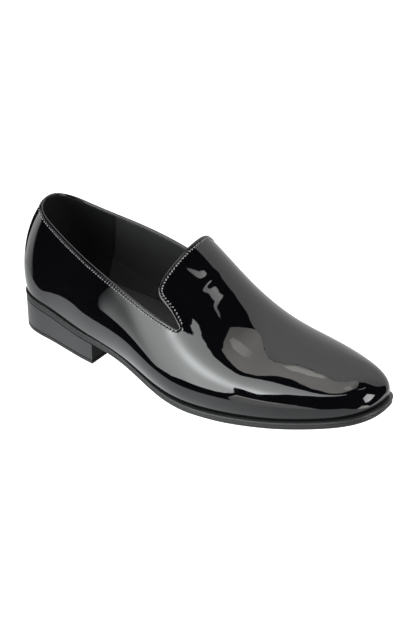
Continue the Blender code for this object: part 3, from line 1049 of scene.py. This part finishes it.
OVERHEAD = (
    Panel(azimuth=-180, low=-25, high=90, glow=0.72, top_glow=1.9),
    Panel(azimuth=-150, low=-20, high=90, glow=0.72, top_glow=1.9),
    Panel(azimuth=-135, low=40, high=90, glow=1.4, top_glow=1.9),
    Panel(azimuth=-108, low=84.6, high=90, glow=1.9, top_glow=1.9),
    Panel(azimuth=-60, low=84.2, high=90, glow=1.9, top_glow=1.9),
    Panel(azimuth=-25, low=82.4, high=90, glow=1.9, top_glow=1.9),
    Panel(azimuth=-5, low=77.1, high=90, glow=1.85, top_glow=1.9),
    Panel(azimuth=3, low=74.5, high=90, glow=1.8, top_glow=1.9),
    Panel(azimuth=16, low=75.9, high=90, glow=1.8, top_glow=1.9),
    Panel(azimuth=43, low=80.2, high=90, glow=1.8, top_glow=1.9),
    Panel(azimuth=75, low=80.2, high=90, glow=1.8, top_glow=1.9),
    Panel(azimuth=102, low=79, high=90, glow=1.7, top_glow=1.9),
    Panel(azimuth=106, low=73, high=90, glow=1.6, top_glow=1.9),
    Panel(azimuth=111, low=67, high=90, glow=1.5, top_glow=1.9),
    Panel(azimuth=118, low=63, high=90, glow=1.45, top_glow=1.9),
    Panel(azimuth=120.5, low=60, high=90, glow=1.4, top_glow=1.9),
    Panel(azimuth=121.5, low=44, high=90, glow=1.3, top_glow=1.9),
    Panel(azimuth=125, low=29, high=90, glow=1.15, top_glow=1.9),
    Panel(azimuth=134, low=14, high=90, glow=1, top_glow=1.9),
    Panel(azimuth=140, low=4, high=90, glow=0.9, top_glow=1.9),
    Panel(azimuth=144, low=-40, high=90, glow=0.7, top_glow=1.9),
    Panel(azimuth=165, low=-40, high=90, glow=0.7, top_glow=1.9),
    Panel(azimuth=180, low=-25, high=90, glow=0.72, top_glow=1.9),
)
# Strip on the ceiling: sideways and forwards as shares of the ceiling's height
Strip = namedtuple("Strip", "across near far glow far_glow")
CEILING_STRIP = (
    Strip(across=-0.4, near=-0.72, far=0.05, glow=3.4, far_glow=2.89),
    Strip(across=-0.1, near=-0.7, far=0.03, glow=3.4, far_glow=2.89),
    Strip(across=-0.06, near=-0.69, far=-0.13, glow=3.4, far_glow=2.89),
    Strip(across=-0.02, near=-0.68, far=-0.24, glow=3.4, far_glow=2.89),
    Strip(across=0.015, near=-0.68, far=-0.29, glow=3.4, far_glow=2.89),
    Strip(across=0.04, near=-0.72, far=-0.275, glow=3.3, far_glow=2.8),
    Strip(across=0.06, near=-0.8, far=-0.262, glow=3.2, far_glow=2.72),
    Strip(across=0.09, near=-0.93, far=-0.205, glow=3.15, far_glow=2.68),
    Strip(across=0.127, near=-1.05, far=-0.135, glow=3.1, far_glow=2.63),
    Strip(across=0.205, near=-1.2, far=0.05, glow=3.2, far_glow=2.72),
    Strip(across=0.25, near=-1.2, far=0.09, glow=3.2, far_glow=2.72),
    Strip(across=0.28, near=-1.12, far=0.12, glow=3, far_glow=2.55),
    Strip(across=0.34, near=-0.98, far=0.05, glow=2.6, far_glow=2.21),
    Strip(across=0.38, near=-0.72, far=-0.02, glow=2.1, far_glow=1.78),
    Strip(across=0.42, near=-0.46, far=-0.12, glow=1.9, far_glow=1.61),
    Strip(across=0.455, near=-0.29, far=-0.27, glow=1.8, far_glow=1.53),
)
REAR_LAMP = (
    Strip(across=-0.05, near=-0.24, far=-0.17, glow=5.0, far_glow=4.8),
    Strip(across=-0.03, near=-0.31, far=-0.24, glow=5.4, far_glow=5.2),
    Strip(across=-0.015, near=-0.37, far=-0.3, glow=5.4, far_glow=5.2),
)
FORE_LAMP = (
    Strip(across=0.2, near=-0.5, far=-0.36, glow=3.4, far_glow=3.4),
    Strip(across=0.25, near=-0.6, far=-0.34, glow=4.2, far_glow=4.0),
    Strip(across=0.33, near=-0.6, far=-0.34, glow=4.4, far_glow=4.0),
    Strip(across=0.385, near=-0.5, far=-0.38, glow=3.6, far_glow=3.2),
)


def glow_finish(name, colour):
    paint = Paint(name)
    strength = paint.node("ShaderNodeAttribute", {"attribute_name": "glow"}, {}, "Fac")
    light = paint.node("ShaderNodeEmission", {}, {"Color": (*colour, 1.0), "Strength": strength})
    paint.feed(paint.tree.nodes["Material Output"].inputs["Surface"], light)
    return paint.material


def spread(rows, names, at):
    return [np.interp(at, column(rows, names[0]), column(rows, name)) for name in names[1:]]


def glowing_sheet(name, points, glow, colour):
    """A sheet of light through an array of points, seen only in the shoe's gloss."""
    lines, columns = points.shape[0] - 1, points.shape[1] - 1
    mesh = bmesh.new()
    layer = mesh.verts.layers.float.new("glow")
    made = bmesh.ops.create_grid(mesh, x_segments=columns, y_segments=lines, size=1.0)
    for vertex in made["verts"]:
        j = round((vertex.co.x + 1) / 2 * columns)
        i = round((vertex.co.y + 1) / 2 * lines)
        vertex.co = points[i, j]
        vertex[layer] = glow[i, j]
    piece = make_piece(name, mesh, glow_finish(name, colour), stage=True)
    piece.visible_camera = False
    piece.visible_shadow = False


def make_panel(name, rows, colour=WHITE, core_glow=0.0):
    at = np.linspace(rows[0].azimuth, rows[-1].azimuth, PANEL_COLUMNS + 1)
    low, high, glow, top_glow = spread(rows, ("azimuth", "low", "high", "glow", "top_glow"), at)
    t = np.linspace(0, 1, PANEL_LINES + 1)[:, None]
    rise = low + (high - low) * t
    core = np.exp(-((at - CORE_AZIMUTH) / CORE_WIDE) ** 2 - ((rise - CORE_ELEVATION) / CORE_TALL) ** 2)
    az, el = np.radians(at)[None], np.radians(rise)
    points = np.stack((np.sin(az) * np.cos(el), -np.cos(az) * np.cos(el), np.sin(el)), axis=-1)
    glowing_sheet(name, points * STUDIO_RADIUS, glow + (top_glow - glow) * t + core_glow * core, colour)


def make_ceiling_strip(name, rows, height):
    at = np.linspace(rows[0].across, rows[-1].across, PANEL_COLUMNS + 1)
    near, far, glow, far_glow = spread(rows, ("across", "near", "far", "glow", "far_glow"), at)
    t = np.linspace(0, 1, PANEL_LINES + 1)[:, None]
    forwards = near + (far - near) * t
    points = np.stack((at + 0 * forwards, forwards, 1 + 0 * forwards), axis=-1)
    glowing_sheet(name, points * height, glow + (far_glow - glow) * t, WARM)


# Near edge of the white sheet that the shoe mirrors, in the part's tables
Sheet = namedtuple("Sheet", "x near glow")
TABLE_SHEET = (
    Sheet(x=-130, near=-48, glow=0.9),
    Sheet(x=30, near=-71, glow=1.25),
    Sheet(x=110, near=-82, glow=1.5),
    Sheet(x=185, near=-97, glow=1.8),
    Sheet(x=250, near=-106, glow=1.25),
    Sheet(x=335, near=-120, glow=1.2),
)
TABLE_FAR = 150
TABLE_LEVEL = -0.3


def make_floor():
    paint = Paint("pale_floor")
    light = paint.node("ShaderNodeEmission", {}, {"Color": (*WHITE, 1.0), "Strength": BACKDROP_GLOW})
    paint.feed(paint.tree.nodes["Material Output"].inputs["Surface"], light)
    mesh = bmesh.new()
    bmesh.ops.create_circle(mesh, cap_ends=True, segments=FLOOR_SEGMENTS, radius=FLOOR_RADIUS)
    floor = make_piece("floor", mesh, paint.material, stage=True)
    floor.location = (0.0, 0.0, FLOOR_LEVEL * MM)
    floor.visible_glossy = False
    x, near = np.array(column(TABLE_SHEET, "x")), np.array(column(TABLE_SHEET, "near"))
    edges = (near, 0 * x + TABLE_FAR)
    lines = [np.stack((x, y, 0 * x + TABLE_LEVEL), axis=-1) for y in edges]
    glow = np.array([column(TABLE_SHEET, "glow")] * 2)
    glowing_sheet("table_sheet", (np.array(lines) - ORIGIN) * MM, glow, SHEET_WHITE)


def make_world():
    world = bpy.data.worlds.new("studio")
    world.use_nodes = True
    tree = world.node_tree
    dark = tree.nodes["Background"]
    dark.inputs["Color"].default_value = (*ROOM_DARK, 1.0)
    pale = tree.nodes.new("ShaderNodeBackground")
    pale.inputs["Color"].default_value = (*WHITE, 1.0)
    pale.inputs["Strength"].default_value = BACKDROP_GLOW
    seen = tree.nodes.new("ShaderNodeLightPath")
    mixed = tree.nodes.new("ShaderNodeMixShader")
    tree.links.new(seen.outputs["Is Camera Ray"], mixed.inputs[0])
    tree.links.new(dark.outputs[0], mixed.inputs[1])
    tree.links.new(pale.outputs[0], mixed.inputs[2])
    tree.links.new(mixed.outputs[0], tree.nodes["World Output"].inputs["Surface"])
    bpy.context.scene.world = world
    bpy.context.scene.view_settings.view_transform = "Standard"


# Camera
CAMERA_AZIMUTH = 34.31
CAMERA_ELEVATION = 29.95
CAMERA_ROLL = 0.24
CAMERA_DISTANCE = 982.87
CAMERA_TARGET = (158.05, 0.52, 48.64)
FOCAL_PIXELS = 1396.72
FRAME_HEIGHT = 624
SENSOR = 36.0


def make_camera():
    az, el = np.radians(CAMERA_AZIMUTH), np.radians(CAMERA_ELEVATION)
    back = Vector((np.sin(az) * np.cos(el), -np.cos(az) * np.cos(el), np.sin(el)))
    target = Vector((np.array(CAMERA_TARGET) - ORIGIN) * MM)
    data = bpy.data.cameras.new("camera")
    data.sensor_width = SENSOR
    data.lens = FOCAL_PIXELS / FRAME_HEIGHT * SENSOR
    camera = bpy.data.objects.new("camera", data)
    bpy.context.scene.collection.objects.link(camera)
    turn = back.to_track_quat("Z", "Y").to_matrix().to_4x4()
    camera.matrix_world = (
        Matrix.Translation(target + back * CAMERA_DISTANCE * MM)
        @ turn @ Matrix.Rotation(np.radians(CAMERA_ROLL), 4, "Z")
    )
    bpy.context.scene.camera = camera


make_camera()
make_upper()
make_lining()
topline = topline_path()
make_folded_edge(topline)
make_stitches(topline)
make_sole()
make_insole()
make_heel()
make_world()
make_floor()
make_panel("near_softbox", NEAR_SOFTBOX, COOL, CORE_GLOW)
make_panel("heel_light", HEEL_LIGHT)
make_panel("toe_light", TOE_LIGHT)
make_panel("toe_reflector", TOE_REFLECTOR, CREAM)
make_panel("overhead_light", OVERHEAD)
make_panel("low_card", LOW_CARD)
make_panel("floor_line", FLOOR_LINE, WARM)
make_panel("tab_glint", TAB_GLINT)
make_ceiling_strip("ceiling_strip", CEILING_STRIP, STUDIO_RADIUS)
make_ceiling_strip("rear_lamp", REAR_LAMP, LAMP_HEIGHT)
make_ceiling_strip("fore_lamp", FORE_LAMP, LAMP_HEIGHT)
